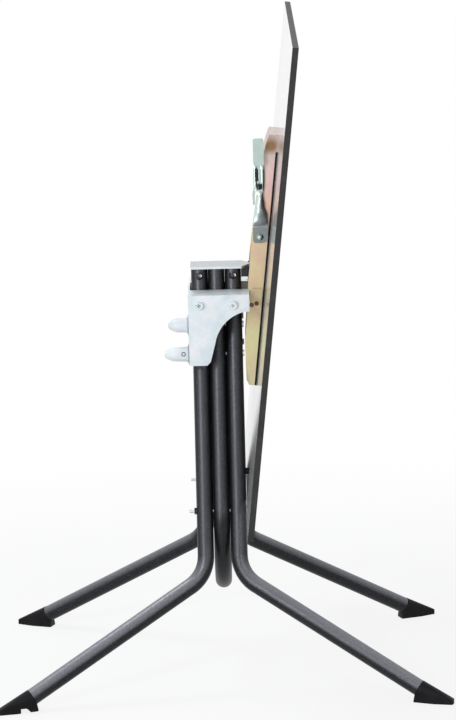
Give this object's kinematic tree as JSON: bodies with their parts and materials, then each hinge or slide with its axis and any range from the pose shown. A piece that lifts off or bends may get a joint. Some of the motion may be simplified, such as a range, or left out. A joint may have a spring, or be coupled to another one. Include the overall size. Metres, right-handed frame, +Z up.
{
  "type": "tilt-top table",
  "caption": "Bistro table with a square top tilted nearly upright beside a column of bent steel tubes on splayed legs, with a latch lever and rubber feet.",
  "frame": {"origin": "on the floor, under the middle of the column", "axes": "+X points to the side on which the parked top hangs, +Y to the rear along the tilt pin, +Z up"},
  "size_m": [0.7608, 0.8, 1.1126],
  "materials": {
    "table_board": "solid compact laminate board, pale grey semi-gloss faces and a dark core at the edge",
    "yellow_zinc": "sheet steel with yellow chromated zinc plating, uneven pink and green tint",
    "clear_zinc": "steel with clear zinc plating, pale and slightly blue",
    "blue_zinc": "steel with blue chromated zinc plating",
    "black_steel": "blackened steel, slightly oily",
    "dark_paint": "anthracite powder paint with a slight metallic sheen",
    "black_rubber": "black moulded rubber, matt",
    "white_nylon": "white turned nylon, slightly translucent"
  },
  "bodies": {
    "stand": {"panel_buffer": "black_rubber", "foot_front_left": "black_rubber", "foot_front_right": "black_rubber", "foot_rear_left": "black_rubber", "foot_rear_right": "black_rubber", "column_cap": "clear_zinc", "column_bracket": "clear_zinc", "bracket_bolts": "clear_zinc", "bracket_nuts": "clear_zinc", "bracket_sleeves": "clear_zinc", "cross_bolts_front": "clear_zinc", "cross_bolts_rear": "clear_zinc", "hinge_block": "blue_zinc", "cross_nuts": "black_steel", "head_bolts": "black_steel", "head_nuts": "black_steel", "bracket_spacers": "black_steel", "nose_washers": "black_steel", "leg_tube_front_left": "dark_paint", "leg_tube_front_right": "dark_paint", "leg_tube_rear_left": "dark_paint", "leg_tube_rear_right": "dark_paint", "middle_tube": "dark_paint", "nose_upper": "white_nylon", "nose_lower": "white_nylon", "pivot_bushes": "white_nylon"},
    "top": {"table_top": "table_board", "top_channel": "yellow_zinc", "channel_pads": "black_rubber", "channel_screws": "yellow_zinc", "stop_plate_front": "yellow_zinc", "stop_plate_rear": "yellow_zinc", "plate_rivets": "yellow_zinc", "seat_bridge": "yellow_zinc", "hinge_ears": "yellow_zinc", "pivot_pin": "clear_zinc", "pivot_clips": "black_steel", "lever_screw": "clear_zinc", "lever_washer": "clear_zinc"},
    "lever": {"latch_lever": "blue_zinc", "lever_grip": "blue_zinc", "lever_spring": "black_steel"}
  },
  "joints": [
    {"name": "top_tilt", "type": "hinge", "parent": "stand", "child": "top", "pos_m": [0.06, 0, 0.698], "axis": [0, -1, 0], "range_deg": [0, 96.42]},
    {"name": "lever_swing", "type": "hinge", "parent": "top", "child": "lever", "pos_m": [0.07635, -0.0547, 0.75835], "axis": [0, -1, 0], "range_deg": [0, 18], "stiffness_Nm_per_rad": 0.5, "springref_deg": -17.19}
  ]
}
